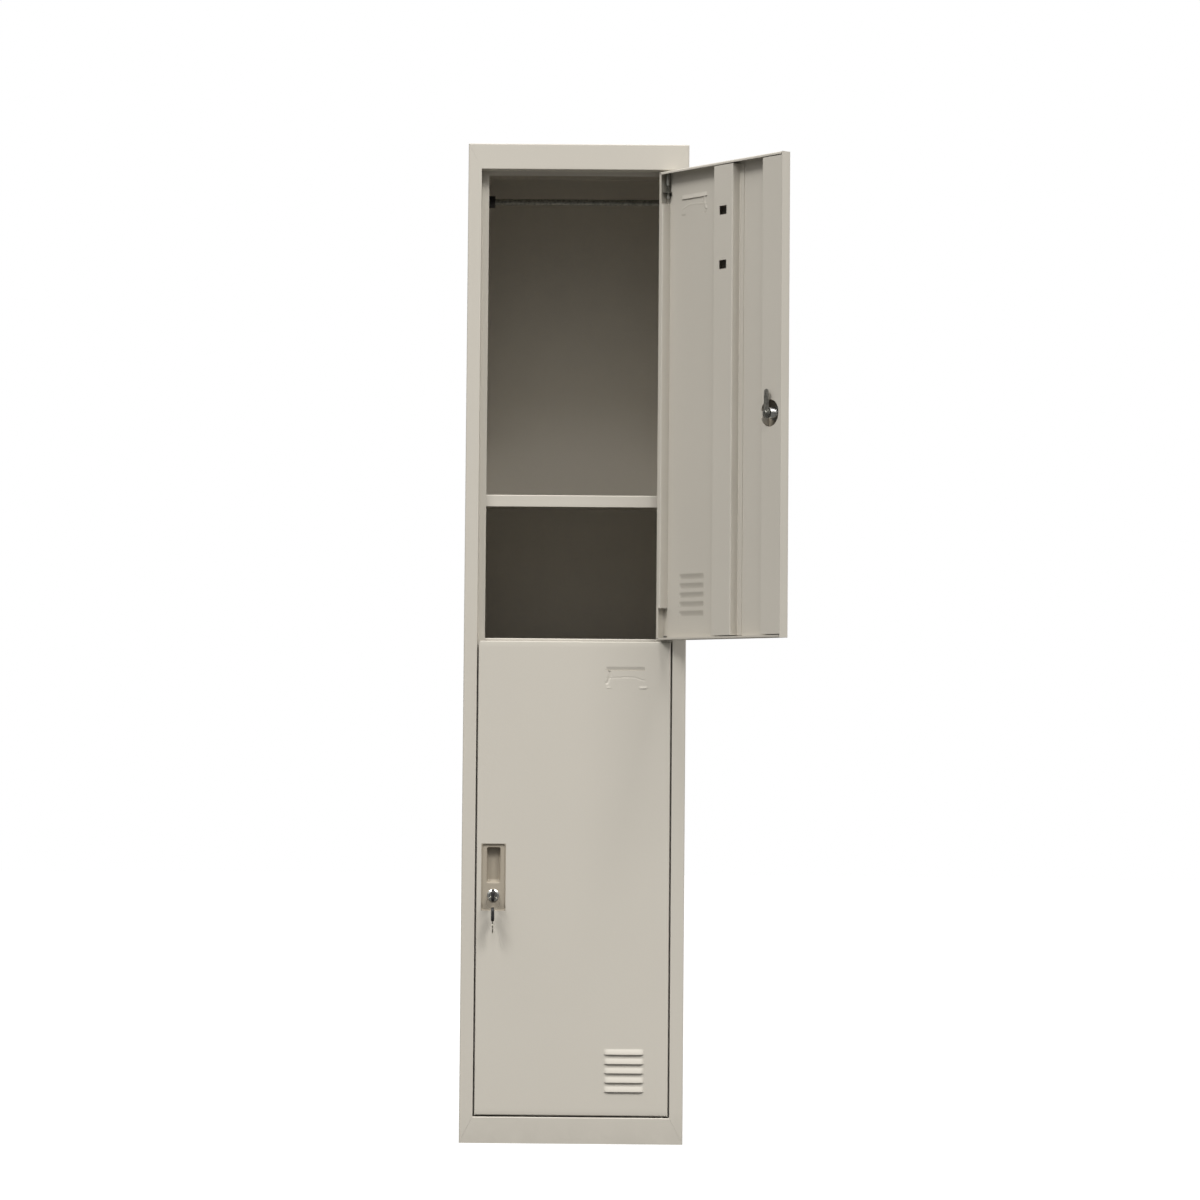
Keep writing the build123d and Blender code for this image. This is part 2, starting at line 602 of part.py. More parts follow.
# ---------- the whole locker ----------
def build():
    """Every node's solid or list of solids, by name."""
    nodes = {
        "left_side_panel": side_panel(-1),
        "right_side_panel": side_panel(1),
        "back_panel": back_panel(),
        "top_panel": top_panel(),
        "base_rail": base_rail(),
        "base_frame": base_frame(),
        "left_door_stop": door_stop(-1),
        "right_door_stop": door_stop(1),
        "compartment_floor": tray_between_walls(MIDDLE + FLOOR_RISE, 30),
        "bottom_panel": bottom_panel(),
        "middle_hinge_bracket": middle_hinge_bracket(),
        "middle_pivot_stud": middle_pivot_stud(),
    }
    tiers = {
        "upper": (UPPER_Z, MIDDLE, HEIGHT, True),
        "lower": (LOWER_Z, RAIL + GAP / 2, MIDDLE, False),
    }
    swing = Pos(HINGE_X, HINGE_Y, 0) * Rot(0, 0, OPEN_ANGLE) * Pos(-HINGE_X, -HINGE_Y, 0)
    for tier, (door_z, base, roof, pin_at_top) in tiers.items():
        shelf_top = base + SHELF_RISE
        nodes[tier + "_shelf"] = tray_between_walls(shelf_top, SHELF_LIP)
        nodes[tier + "_shelf_clips"] = shelf_clips(shelf_top)
        nodes[tier + "_rod"] = rod(roof - ROD_DROP)
        nodes[tier + "_rod_sockets"] = rod_sockets(roof - ROD_DROP)
        for name, shape in door_parts(door_z, pin_at_top).items():
            nodes[tier + "_" + name] = swing * shape if tier == "upper" else shape
    nodes.update(key_parts(LOWER_Z + DOOR_HEIGHT / 2 - LOCK_DROP))
    return nodes


os.makedirs("parts", exist_ok=True)
for name, shape in build().items():
    if isinstance(shape, list):
        shape = Compound(children=shape)
    export_step(shape, "parts/" + name + ".step")
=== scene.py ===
"""Two-tier steel school locker: looks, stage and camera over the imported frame."""
import json
from math import atan2, ceil, cos, hypot, pi, radians, sin

import bpy
from bpy.props import (FloatProperty, FloatVectorProperty, IntProperty, PointerProperty,
                       StringProperty)
from mathutils import Matrix, Vector


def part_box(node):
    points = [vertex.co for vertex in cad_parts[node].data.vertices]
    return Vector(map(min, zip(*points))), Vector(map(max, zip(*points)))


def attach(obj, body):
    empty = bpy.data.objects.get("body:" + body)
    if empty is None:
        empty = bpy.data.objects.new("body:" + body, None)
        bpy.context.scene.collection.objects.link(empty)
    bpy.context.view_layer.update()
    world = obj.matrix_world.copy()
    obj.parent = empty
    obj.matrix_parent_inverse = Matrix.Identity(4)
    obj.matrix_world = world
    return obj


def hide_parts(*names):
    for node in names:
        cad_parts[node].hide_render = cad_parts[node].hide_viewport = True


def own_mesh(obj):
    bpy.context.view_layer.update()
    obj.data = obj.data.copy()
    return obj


bl_info = {
    "name": "School locker",
    "version": (1, 0, 0),
    "blender": (4, 5, 0),
    "location": "3D View > Sidebar > Locker",
    "description": "Finishes, pressed details, keys and studio of a two-tier steel locker",
    "category": "Object",
}

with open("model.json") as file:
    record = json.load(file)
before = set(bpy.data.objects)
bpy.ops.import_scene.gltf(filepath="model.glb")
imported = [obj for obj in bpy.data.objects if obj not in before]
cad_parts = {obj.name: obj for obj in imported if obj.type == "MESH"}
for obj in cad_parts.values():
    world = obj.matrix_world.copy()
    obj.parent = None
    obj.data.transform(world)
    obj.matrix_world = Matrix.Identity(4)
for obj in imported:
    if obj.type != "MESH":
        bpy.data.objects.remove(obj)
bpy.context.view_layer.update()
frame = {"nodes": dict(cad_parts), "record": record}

MM = 0.001
TIERS = ("upper", "lower")

# sizes that several pieces share, in mm
SHEET = 1.0
TRAY_WIDE, TRAY_TALL, TRAY_GAP = 44.0, 120.0, 0.1
LOCK_DROP = 32.5  # from the handle's middle down to the lock's


# ---------- the frame's own places ----------
def joint(name):
    """A joint of the record, by name."""
    return next(j for j in frame["record"]["behaviour"]["joints"] if j["name"] == name)


def low(node):
    """Lowest corner of a node's box, in millimetres."""
    return Vector(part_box(node)[0]) / MM


def high(node):
    """Highest corner of a node's box, in millimetres."""
    return Vector(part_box(node)[1]) / MM


HINGE = Vector(joint("lower_door_hinge")["pos_m"]) / MM
LOCK = Vector(joint("lower_lock_turn")["pos_m"]) / MM
FRONT = low("left_side_panel").y
EDGE = high("lower_door_skin").x
DOOR_DEEP = high("lower_door_skin").y - FRONT
DOOR_TALL = high("lower_door_skin").z - low("lower_door_skin").z
OPENED = -joint("upper_door_hinge")["range_deg"][0]


def door_place(tier):
    """Turns a place on a closed door, in millimetres, into where that door stands."""
    if tier == "lower":
        return Matrix.Identity(4)
    pivot = Vector((HINGE.x, HINGE.y, 0))
    swing = Matrix.Rotation(radians(OPENED), 4, "Z")
    return Matrix.Translation(pivot) @ swing @ Matrix.Translation(-pivot)


def door_foot(tier):
    """Height of the foot of a tier's door, in millimetres."""
    return low(tier + "_door_skin").z


def door_middle(tier):
    """Height of the middle of a tier's door, in millimetres."""
    return door_foot(tier) + DOOR_TALL / 2


# ---------- sizes and colours a user would change ----------
class LockerSizes(bpy.types.PropertyGroup):
    """Sizes of the small parts"""
    coil_turns: IntProperty(
        name="Hinge spring turns", description="Turns of wire in each hinge pin's spring",
        default=6, min=3)
    spring_wire: FloatProperty(
        name="Spring wire", description="Diameter of the hinge springs' wire, in mm",
        default=0.95, min=0.3)
    ring_wire: FloatProperty(
        name="Key ring wire", description="Diameter of the split ring's wire, in mm",
        default=0.6, min=0.2)
    tray_bevel: FloatProperty(
        name="Handle bevel", description="Width of the slope round the recessed handle, in mm",
        default=2.6, min=0.5)
    louvre_round: FloatProperty(
        name="Louvre end", default=9.0, min=2.0,
        description="Length over which a louvre's ends fade into the door, in mm")


class LockerColours(bpy.types.PropertyGroup):
    """Colours of the coats and the plastic"""
    door: StringProperty(
        name="Door coat", description="sRGB hex of the doors' powder coat", default="C8C3B9")
    cabinet: StringProperty(
        name="Cabinet coat", description="sRGB hex of the cabinet's powder coat", default="C6C1B7")
    # painted shade: the handles' coat is darker than the doors' so that it paints the shade in the
    # trays' recess
    handle: StringProperty(
        name="Handle coat with painted shade", description="sRGB hex of the recessed handles", default="A49B8C")
    black: StringProperty(
        name="Black plastic", description="sRGB hex of the moulded plastic", default="1D1D1E")


class LockerStudio(bpy.types.PropertyGroup):
    """Lights and camera"""
    key_power: FloatProperty(
        name="Softboxes", description="Power that each softbox takes its share of, in watts",
        default=3350.0, min=0.0, unit="POWER")
    sky: FloatProperty(
        name="Room light", description="Strength of the light from all round",
        default=0.5, min=0.0)
    lens: FloatProperty(
        name="Lens", description="Focal length on a 36 mm wide frame, in mm",
        default=118.1, min=10.0, unit="CAMERA")
    eye: FloatVectorProperty(
        name="Camera", description="Where the camera stands, in metres",
        default=(0.104, -7.313, 0.720), subtype="TRANSLATION", unit="LENGTH")
    aim: FloatVectorProperty(
        name="Camera turn", description="Turn to the right, tilt upwards and roll, in degrees",
        default=(-0.488, 3.095, 0.475))
    rise: FloatProperty(
        name="Shift", description="Vertical shift of the frame, as a share of its width",
        default=-0.06)


# ---------- materials ----------
def linear(text):
    """Linear colour with alpha from an sRGB hex value."""
    out = []
    for n in (0, 2, 4):
        c = int(text[n:n + 2], 16) / 255
        out.append(c / 12.92 if c <= 0.04045 else ((c + 0.055) / 1.055) ** 2.4)
    return (*out, 1.0)


def add(tree, kind, inputs=None, **settings):
    """Adds one node with its settings, constants and links; an input given a socket is linked."""
    node = tree.nodes.new(kind)
    for key, value in settings.items():
        setattr(node, key, value)
    for key, value in (inputs or {}).items():
        if isinstance(value, bpy.types.NodeSocket):
            tree.links.new(value, node.inputs[key])
        else:
            node.inputs[key].default_value = value
    return node


def start(name):
    """A new material with its tree, its object coordinates and its shader."""
    material = bpy.data.materials.new(name)
    material.use_nodes = True
    tree = material.node_tree
    tree.nodes.clear()
    place = add(tree, "ShaderNodeTexCoord").outputs["Object"]
    shader = add(tree, "ShaderNodeBsdfPrincipled")
    add(tree, "ShaderNodeOutputMaterial", {"Surface": shader.outputs["BSDF"]})
    return material, tree, place, shader


def per_mm(size):
    """Noise scale that gives a feature of this size in mm on object coordinates in metres."""
    return 1 / (size * MM)


def tone(colour, factor):
    """A colour made lighter or darker by a factor."""
    return (*(min(1.0, c * factor) for c in colour[:3]), 1.0)


def powder_coat(name, hex_colour):
    """Polyester powder coat baked on sheet steel: satin, with orange peel and a cloudy tone."""
    material, tree, place, shader = start(name)
    base = linear(hex_colour)
    # clouds of tone, 300 mm across, from uneven film thickness
    cloud = add(tree, "ShaderNodeTexNoise", {
        "Vector": place, "Scale": per_mm(300), "Detail": 3.0}).outputs["Fac"]
    # specks of pigment and dust, 3 mm: coarser than real ones so that they show
    speck = add(tree, "ShaderNodeTexNoise", {
        "Vector": place, "Scale": per_mm(3), "Detail": 4.0, "Roughness": 0.7}).outputs["Fac"]
    wide = add(tree, "ShaderNodeMix", {
        "Factor": cloud, "A": tone(base, 0.975), "B": tone(base, 1.02)}, data_type="RGBA")
    speck_step = add(tree, "ShaderNodeMapRange", {
        "Value": speck, "From Min": 0.3, "From Max": 0.72, "To Min": 0.0, "To Max": 1.0})
    fine = add(tree, "ShaderNodeMix", {
        "Factor": speck_step.outputs[0], "A": tone(base, 0.975), "B": tone(base, 1.015)},
        data_type="RGBA")
    both = add(tree, "ShaderNodeMix", {
        "Factor": 0.5, "A": wide.outputs["Result"], "B": fine.outputs["Result"]},
        data_type="RGBA")
    # mottled darkening in the lowest 60 mm, darker towards the bottom
    up = add(tree, "ShaderNodeSeparateXYZ", {"Vector": place}).outputs["Z"]
    bottom_mottle = add(tree, "ShaderNodeTexNoise", {
        "Vector": place, "Scale": per_mm(35), "Detail": 6.0, "Distortion": 0.6}).outputs["Fac"]
    towards_bottom = add(tree, "ShaderNodeMapRange", {
        "Value": up, "From Min": 0.0, "From Max": 0.06, "To Min": 0.55, "To Max": 0.0})
    bottom_darkening = add(tree, "ShaderNodeMath", {0: towards_bottom.outputs[0], 1: bottom_mottle}, operation="MULTIPLY")
    darkened_low = add(tree, "ShaderNodeMix", {
        "Factor": bottom_darkening.outputs[0], "A": both.outputs["Result"], "B": tone(base, 0.72)},
        data_type="RGBA")
    tree.links.new(darkened_low.outputs["Result"], shader.inputs["Base Color"])
    # satin, a little uneven in gloss over 60 mm
    gloss = add(tree, "ShaderNodeTexNoise", {
        "Vector": place, "Scale": per_mm(60), "Detail": 3.0}).outputs["Fac"]
    rough = add(tree, "ShaderNodeMapRange", {"Value": gloss, "To Min": 0.40, "To Max": 0.52})
    tree.links.new(rough.outputs[0], shader.inputs["Roughness"])
    shader.inputs["IOR"].default_value = 1.5
    # orange peel: 2 mm dimples drawn at 4 mm so that they show
    peel = add(tree, "ShaderNodeTexNoise", {
        "Vector": place, "Scale": per_mm(4), "Detail": 2.0}).outputs["Fac"]
    # oil canning of thin sheet, 180 mm across
    wave = add(tree, "ShaderNodeTexNoise", {
        "Vector": place, "Scale": per_mm(180), "Detail": 0.0}).outputs["Fac"]
    long_bump = add(tree, "ShaderNodeBump", {"Height": wave, "Strength": 0.25, "Distance": 0.004})
    bump = add(tree, "ShaderNodeBump", {
        "Height": peel, "Strength": 0.18, "Distance": 0.0004,
        "Normal": long_bump.outputs["Normal"]})
    tree.links.new(bump.outputs["Normal"], shader.inputs["Normal"])
    return material


def plated(name, dark, light, rough_range, grain, relief):
    """Metal plating: full metal, with crystals or brushing of a grain in mm in tone and gloss."""
    material, tree, place, shader = start(name)
    shader.inputs["Metallic"].default_value = 1.0
    cells = add(tree, "ShaderNodeTexVoronoi", {
        "Vector": place, "Scale": per_mm(grain)}, feature="F1").outputs["Distance"]
    cloud = add(tree, "ShaderNodeTexNoise", {
        "Vector": place, "Scale": per_mm(grain * 3), "Detail": 4.0}).outputs["Fac"]
    mixed = add(tree, "ShaderNodeMath", {0: cells, 1: cloud}, operation="MULTIPLY")
    spread = add(tree, "ShaderNodeMapRange", {
        "Value": mixed.outputs[0], "From Min": 0.05, "From Max": 0.4})
    tint = add(tree, "ShaderNodeMix", {
        "Factor": spread.outputs[0], "A": linear(dark), "B": linear(light)}, data_type="RGBA")
    tree.links.new(tint.outputs["Result"], shader.inputs["Base Color"])
    rough = add(tree, "ShaderNodeMapRange", {
        "Value": cloud, "From Min": 0.3, "From Max": 0.7,
        "To Min": rough_range[0], "To Max": rough_range[1]})
    tree.links.new(rough.outputs[0], shader.inputs["Roughness"])
    bump = add(tree, "ShaderNodeBump", {"Height": cloud, "Strength": relief, "Distance": 0.0003})
    tree.links.new(bump.outputs["Normal"], shader.inputs["Normal"])
    return material


def moulded_plastic(name, hex_colour):
    """Injection-moulded ABS with a fine spark-eroded grain: dull black with a soft edge sheen."""
    material, tree, place, shader = start(name)
    base = linear(hex_colour)
    grain = add(tree, "ShaderNodeTexNoise", {
        "Vector": place, "Scale": per_mm(0.7), "Detail": 3.0}).outputs["Fac"]
    tint = add(tree, "ShaderNodeMix", {
        "Factor": grain, "A": tone(base, 0.8), "B": tone(base, 1.35)}, data_type="RGBA")
    tree.links.new(tint.outputs["Result"], shader.inputs["Base Color"])
    rough = add(tree, "ShaderNodeMapRange", {"Value": grain, "To Min": 0.42, "To Max": 0.6})
    tree.links.new(rough.outputs[0], shader.inputs["Roughness"])
    shader.inputs["IOR"].default_value = 1.53
    bump = add(tree, "ShaderNodeBump", {"Height": grain, "Strength": 0.3, "Distance": 0.0002})
    tree.links.new(bump.outputs["Normal"], shader.inputs["Normal"])
    return material


def finishes():
    """Every finish by name, made once."""
    if "Powder coat door" not in bpy.data.materials:
        look = bpy.context.scene.locker_colours
        powder_coat("Powder coat door", look.door)
        powder_coat("Powder coat cabinet", look.cabinet)
        # painted shade: a darker copy of the door coat for the handle trays, standing for the shade
        # in their recess
        powder_coat("Powder coat handle", look.handle)
        # bright zinc gone dull: grey spangle 5 mm across
        plated("Zinc plate", "7E7E79", "A09F99", (0.46, 0.6), grain=5, relief=0.15)
        # decorative chrome on a die-cast lock: nearly a mirror
        plated("Chrome plate", "C4C4C1", "DADAD7", (0.18, 0.26), grain=8, relief=0.03)
        # nickel on a stamped key: warm and bright, rubbed by a pocket
        plated("Nickel plate", "A39F94", "C4C0B4", (0.22, 0.36), grain=2, relief=0.1)
        # oiled spring wire: dark, with a soft shine
        plated("Spring wire", "55534F", "7B7973", (0.28, 0.4), grain=2, relief=0.1)
        moulded_plastic("Moulded black plastic", look.black)
    return bpy.data.materials


# ---------- making pieces ----------
def piece(name, verts, faces, finish, body, record_slot, place=None, sharp=40):
    """A mesh piece from places in millimetres, with its finish, riding on a body."""
    turn = place or Matrix.Identity(4)
    mesh = bpy.data.meshes.new(name)
    mesh.from_pydata([(turn @ Vector(v)) * MM for v in verts], [], faces)
    mesh.validate()
    obj = bpy.data.objects.new(name, mesh)
    bpy.context.scene.collection.objects.link(obj)
    mesh.materials.append(finishes()[finish])
    mesh.polygons.foreach_set("use_smooth", [True] * len(mesh.polygons))
    mesh.set_sharp_from_angle(angle=radians(sharp))
    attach(obj, body)
    return obj


def used_only(verts, faces):
    """The same faces, without the vertices that none of them uses."""
    used = sorted({v for face in faces for v in face})
    again = {v: n for n, v in enumerate(used)}
    return [verts[v] for v in used], [tuple(again[v] for v in face) for face in faces]


def rings_to_faces(rings, count, closed=False):
    """Quads between rings of vertices, given as the index of each ring's first vertex."""
    faces = []
    pairs = list(zip(rings, rings[1:]))
    if closed:
        pairs.append((rings[-1], rings[0]))
    for a, b in pairs:
        for k in range(count):
            n = (k + 1) % count
            faces.append((a + k, a + n, b + n, b + k))
    return faces


def turned(profile, axis_point, axis, count=64):
    """Verts and faces of a closed profile of (radius, along) turned about an axis."""
    axis = Vector(axis).normalized()
    side = axis.orthogonal().normalized()
    other = axis.cross(side)
    verts, rings = [], []
    for radius, along in profile:
        rings.append(len(verts))
        middle = Vector(axis_point) + axis * along
        for k in range(count):
            t = 2 * pi * k / count
            verts.append(middle + (side * cos(t) + other * sin(t)) * radius)
    return verts, rings_to_faces(rings, count, closed=True)


def wire(path, radius, count=10):
    """Verts and faces of a round wire along a path, with capped ends."""
    verts, rings = [], []
    for n, point in enumerate(path):
        before, after = path[max(0, n - 1)], path[min(len(path) - 1, n + 1)]
        along = (after - before).normalized()
        if n == 0:
            side = along.orthogonal().normalized()
        side = (side - along * side.dot(along)).normalized()
        up = along.cross(side)
        rings.append(len(verts))
        for k in range(count):
            t = 2 * pi * k / count
            verts.append(point + (side * cos(t) + up * sin(t)) * radius)
    faces = rings_to_faces(rings, count)
    faces.append(tuple(range(count))[::-1])
    faces.append(tuple(rings[-1] + k for k in range(count)))
    return verts, faces


def thicken(obj, offset, sharp=40):
    """Gives a folded surface its sheet; offset 0 grows both ways, -1 grows inwards."""
    thick = obj.modifiers.new("Sheet", "SOLIDIFY")
    thick.thickness, thick.offset, thick.use_even_offset = SHEET * MM, offset, True
    bpy.context.view_layer.update()
    solid = obj.evaluated_get(bpy.context.evaluated_depsgraph_get())
    shape = bpy.data.meshes.new_from_object(solid)
    obj.modifiers.clear()
    shape.name = obj.name
    obj.data = shape
    shape.polygons.foreach_set("use_smooth", [True] * len(shape.polygons))
    shape.set_sharp_from_angle(angle=radians(sharp))


def clamp(t):
    """A number held between 0 and 1."""
    return max(0.0, min(1.0, t))


def smooth_step(t):
    """0 below 0, 1 above 1, and an S curve between."""
    t = clamp(t)
    return t * t * (3 - 2 * t)


def spaced(lo, hi, step):
    """Evenly spaced lines from lo to hi, both included."""
    count = max(1, round((hi - lo) / step))
    return [lo + (hi - lo) * k / count for k in range(count + 1)]


def arc(x, y, radius, first, last, steps=5):
    """Points on a bend about (x, y) between two angles, in degrees."""
    angles = [radians(first + (last - first) * k / steps) for k in range(steps + 1)]
    return [(x + radius * cos(a), y + radius * sin(a)) for a in angles]


def inside(x, z, half_w, lo, hi, corner):
    """How far a place lies inside a rounded rectangle."""
    mid, half_h = (lo + hi) / 2, (hi - lo) / 2
    dx, dz = abs(x) - (half_w - corner), abs(z - mid) - (half_h - corner)
    outside = hypot(max(dx, 0), max(dz, 0)) + min(max(dx, dz), 0)
    return corner - outside


def paint(finish, *nodes):
    """Gives a finish to CAD nodes."""
    for name in nodes:
        obj = frame["nodes"][name]
        if not obj.material_slots:
            obj.data.materials.append(None)
        for spot in obj.material_slots:
            spot.material = finishes()[finish]


# ---------- operators ----------
class LOCKER_OT_cabinet(bpy.types.Operator):
    """Powder coat on the cabinet's sheets and shelves, zinc on the rods and clips, black sockets"""
    bl_idname = "locker.cabinet"
    bl_label = "Cabinet"

    def execute(self, context):
        paint("Powder coat cabinet", "left_side_panel", "right_side_panel", "back_panel",
              "top_panel", "base_rail", "base_frame", "left_door_stop", "right_door_stop",
              "compartment_floor", "bottom_panel", "middle_hinge_bracket", "upper_shelf",
              "lower_shelf")
        paint("Zinc plate", "upper_rod", "lower_rod", "upper_shelf_clips", "lower_shelf_clips",
              "middle_pivot_stud")
        paint("Moulded black plastic", "upper_rod_sockets", "lower_rod_sockets")
        return {"FINISHED"}


class LOCKER_OT_doors(bpy.types.Operator):
    """Folded door skins with pressed louvres and card holder, and the doors' channels"""
    bl_idname = "locker.doors"
    bl_label = "Doors"

    # pressed features, measured from the hinge edge and from the door's foot or top, in mm
    louvre_from, louvre_to, louvre_first, louvre_pitch, louvres = 44.0, 114.0, 43.0, 16.6, 5
    louvre_tall, louvre_out = 9.6, 2.9
    card_from, card_to, card_drop = 45.0, 117.0, 45.0
    card_slot, card_foot, card_deep = 7.2, 38.5, 1.8
    lip_tall = 4.2
    # folds: bend radius, the hinge box from the edge and from each end, and the flanges
    bend, box_wide, box_lip, box_long = 1.5, 10.5, 6.5, 58.0
    flange_edge, flange_start, hem, pin_hole = 2.5, 2.0, 4.5, 3.07
    # grid: least span across and upwards, and the span of a sharp step
    least_across, least_up, step = 0.3, 0.35, 0.06

    def execute(self, context):
        for tier in TIERS:
            paint("Powder coat door", tier + "_door_stiffener", tier + "_lock_channel")
            self.skin(tier, context.scene.locker_sizes.louvre_round)
        return {"FINISHED"}

    def louvre(self, x, z, foot, fade):
        """How far the louvres push the sheet out at a place on the door's front."""
        x0, x1 = EDGE - self.louvre_to, EDGE - self.louvre_from
        out = 0.0
        for n in range(self.louvres):
            t = (z - (foot + self.louvre_first + n * self.louvre_pitch)) / self.louvre_tall
            if 0 <= t < 1:
                near = clamp(min(x - x0, x1 - x) / fade)
                ends = (1 - (1 - near) ** 2) ** 0.5
                out += self.louvre_out * ends * (0.45 * (1 - t) + 0.55 * cos(pi / 2 * t))
        return out

    def card(self, x, down):
        """How far the card holder's sheet stands out, at a drop below its slot's top."""
        x0, x1 = EDGE - self.card_to, EDGE - self.card_from
        out = 0.0
        if not (-3 < down < self.card_foot + 8 and x0 - 6 < x < x1 + 6):
            return out
        across = smooth_step((x - x0) / 2.0) * smooth_step((x1 - x) / 2.0)
        # the slot slopes inwards on its way down, and ends in a sharp edge
        if 0 <= down <= self.card_slot + 0.01:
            out -= self.card_deep * across * down / self.card_slot
        # crease that stiffens the pocket's back
        rise, fall = 1 - smooth_step((x1 - x) / 24), smooth_step((x1 - x - 34) / 30)
        arch = 19.0 + 5.5 * rise + 1.5 * fall
        out -= 0.35 * across * max(0.0, 1 - abs(down - arch) / 2.4) ** 1.5
        # curved groove that guides the card's left end
        share = clamp((down - self.card_slot) / 24)
        line = x0 + 2.0 + 5.0 * sin(pi * (0.3 + 0.7 * share))
        below_slot = smooth_step((down - self.card_slot) / 2)
        window = below_slot * smooth_step((self.card_foot - 6 - down) / 3)
        out -= 1.5 * window * max(0.0, 1 - abs(x - line) / 3.2)
        # turned-out lips that hold the card's foot, as (middle, half width, height)
        if down <= self.card_foot + 0.01:
            ramp = clamp((down - (self.card_foot - self.lip_tall)) / self.lip_tall)
            for middle, half, height in ((x1 - 4.5, 7.5, 0.85), (x0 + 5.5, 4.5, 0.5)):
                out += height * ramp * smooth_step((half - abs(x - middle)) / 2.5)
        return out

    def skin(self, tier, fade):
        """Folds one door's skin from a grid of columns across and rows upwards."""
        foot = door_foot(tier)
        top = foot + DOOR_TALL
        middle = (foot + top) / 2
        bend, half, hole = self.bend, SHEET / 2, self.pin_hole
        face, rear = FRONT + half, FRONT + DOOR_DEEP - half
        side, flat = EDGE - half, EDGE - self.flange_edge
        box_x, lip_x = EDGE - self.box_wide, EDGE - self.box_lip
        low_flat, high_flat = foot + self.flange_start, top - self.flange_start
        low_box, high_box = foot + self.box_long, top - self.box_long
        cut_x, cut_z = TRAY_WIDE / 2 + TRAY_GAP, TRAY_TALL / 2 + TRAY_GAP
        tray = LOCK.x - cut_x, LOCK.x + cut_x
        hole_lines = [hole * k / 2 for k in range(-2, 3)]

        # across: the hinge box, the front and the free edge; each column is (x, y, on the front)
        box = [(box_x, face + 0.65), (box_x, face + 8)]
        box += arc(box_x + bend, rear - bend, bend, 180, 90) + [(lip_x, rear)]
        box += arc(side - bend, rear - bend, bend, 90, 0) + [(side, face + 9)]
        box += arc(side - bend, face + bend, bend, 0, -90)[:-1]
        marks = [side - bend, flat, -flat, -(side - bend), *tray, EDGE - self.card_to - 3]
        marks += [HINGE.x + line for line in hole_lines]
        marks += spaced(EDGE - self.card_to - 2, EDGE - self.louvre_from + 3, 1.25)
        marks += spaced(-140, 50, 19) + [-168, 140, 150] + spaced(tray[0], tray[1], 8.84)
        fronts = []
        for x in sorted(marks, reverse=True):
            if not fronts or fronts[-1] - x > self.least_across:
                fronts.append(x)
        free = arc(-side + bend, face + bend, bend, -90, -180)[1:]
        free += [(-side, face + 9), (-side, rear + half)]
        columns = [(x, y, False) for x, y in box] + [(x, face, True) for x in fronts]
        columns += [(x, y, False) for x, y in free]

        # upwards: the folds, the tray's cut-out, the louvres, the card holder and plain sheet
        fixed = [foot, low_flat, high_flat, top, low_box, high_box]
        rows = fixed + spaced(middle - cut_z, middle + cut_z, 12)
        slots = [foot + self.louvre_first + n * self.louvre_pitch for n in range(self.louvres)]
        for slot in slots:
            rows += [slot - self.step, slot, slot + self.louvre_tall + 1.5]
            rows += [slot + self.louvre_tall * k / 9 for k in range(1, 10)]
        card_top = top - self.card_drop
        edges = [card_top - drop for drop in (self.card_slot, self.card_foot)]
        edges += [z - self.step for z in edges]
        rows += edges + spaced(card_top - self.card_foot - 3, card_top + 2, 0.8)
        rows += spaced(foot + 140, middle - 70, 30) + spaced(middle + 70, top - 100, 30)
        rows += [foot + 12, foot + 25, top - 12, top - 25]
        keep = {*fixed, *slots, *edges, middle - cut_z, middle + cut_z}
        keep |= {z - self.step for z in slots}
        levels = []
        for z in sorted(rows):
            if z in keep or not levels or z - levels[-1] > self.least_up:
                levels.append(z)

        verts, at = [], {}

        def vertex(key, x, y, z):
            """Number of a vertex, which is made when its key is first used."""
            if key not in at:
                at[key] = len(verts)
                verts.append((x, y, z))
            return at[key]

        # columns whose ends turn into the flanges at the foot and the top
        flange = [c for c, (x, _, on_front) in enumerate(columns)
                  if on_front and abs(x) <= flat + 1e-6]
        for c, (x, y, on_front) in enumerate(columns):
            for r, z in enumerate(levels):
                if c not in flange or low_flat <= z <= high_flat:
                    out = 0.0
                    if on_front:
                        out = self.louvre(x, z, foot, fade) + self.card(x, card_top - z)
                    vertex((c, r), x, y - out, z)
        faces = []
        in_slot = {levels.index(z) for z in slots}
        louvre_x = EDGE - self.louvre_to, EDGE - self.louvre_from
        for c in range(len(columns) - 1):
            (xa, ya, front_a), (xb, yb, front_b) = columns[c], columns[c + 1]
            xm, ym, on_front = (xa + xb) / 2, (ya + yb) / 2, front_a and front_b
            boxed = ym > face + 0.2 and box_x - 1 < xm < lip_x
            for r in range(len(levels) - 1):
                corners = [(c, r), (c + 1, r), (c + 1, r + 1), (c, r + 1)]
                if any(k not in at for k in corners):
                    continue
                zm = (levels[r] + levels[r + 1]) / 2
                cut_out = on_front and tray[0] < xm < tray[1] and abs(zm - middle) < cut_z
                gap = on_front and r + 1 in in_slot and louvre_x[0] < xm < louvre_x[1]
                if not (cut_out or gap or boxed and not low_box < zm < high_box):
                    faces.append(tuple(at[k] for k in corners))

        # folded flanges at the foot and the top, as paths of (y, z) with a small hem at the rear
        quarter = (0.0, 0.31, 0.63, 0.94, 1.26, pi / 2)
        round_hole = range(len(quarter), len(quarter) + len(hole_lines))
        for end, inward in ((foot, 1), (top, -1)):
            path = [(face + bend - bend * cos(a), end + inward * (half + bend - bend * sin(a)))
                    for a in quarter]
            path += [(HINGE.y + line, end + inward * half) for line in hole_lines]
            path += [(y, end + inward * half) for y in (FRONT + 11, rear - bend - 1)]
            path += [(rear - bend + bend * sin(a), end + inward * (half + bend - bend * cos(a)))
                     for a in quarter]
            path.append((rear, end + inward * self.hem))
            first = levels.index(low_flat if inward > 0 else high_flat)

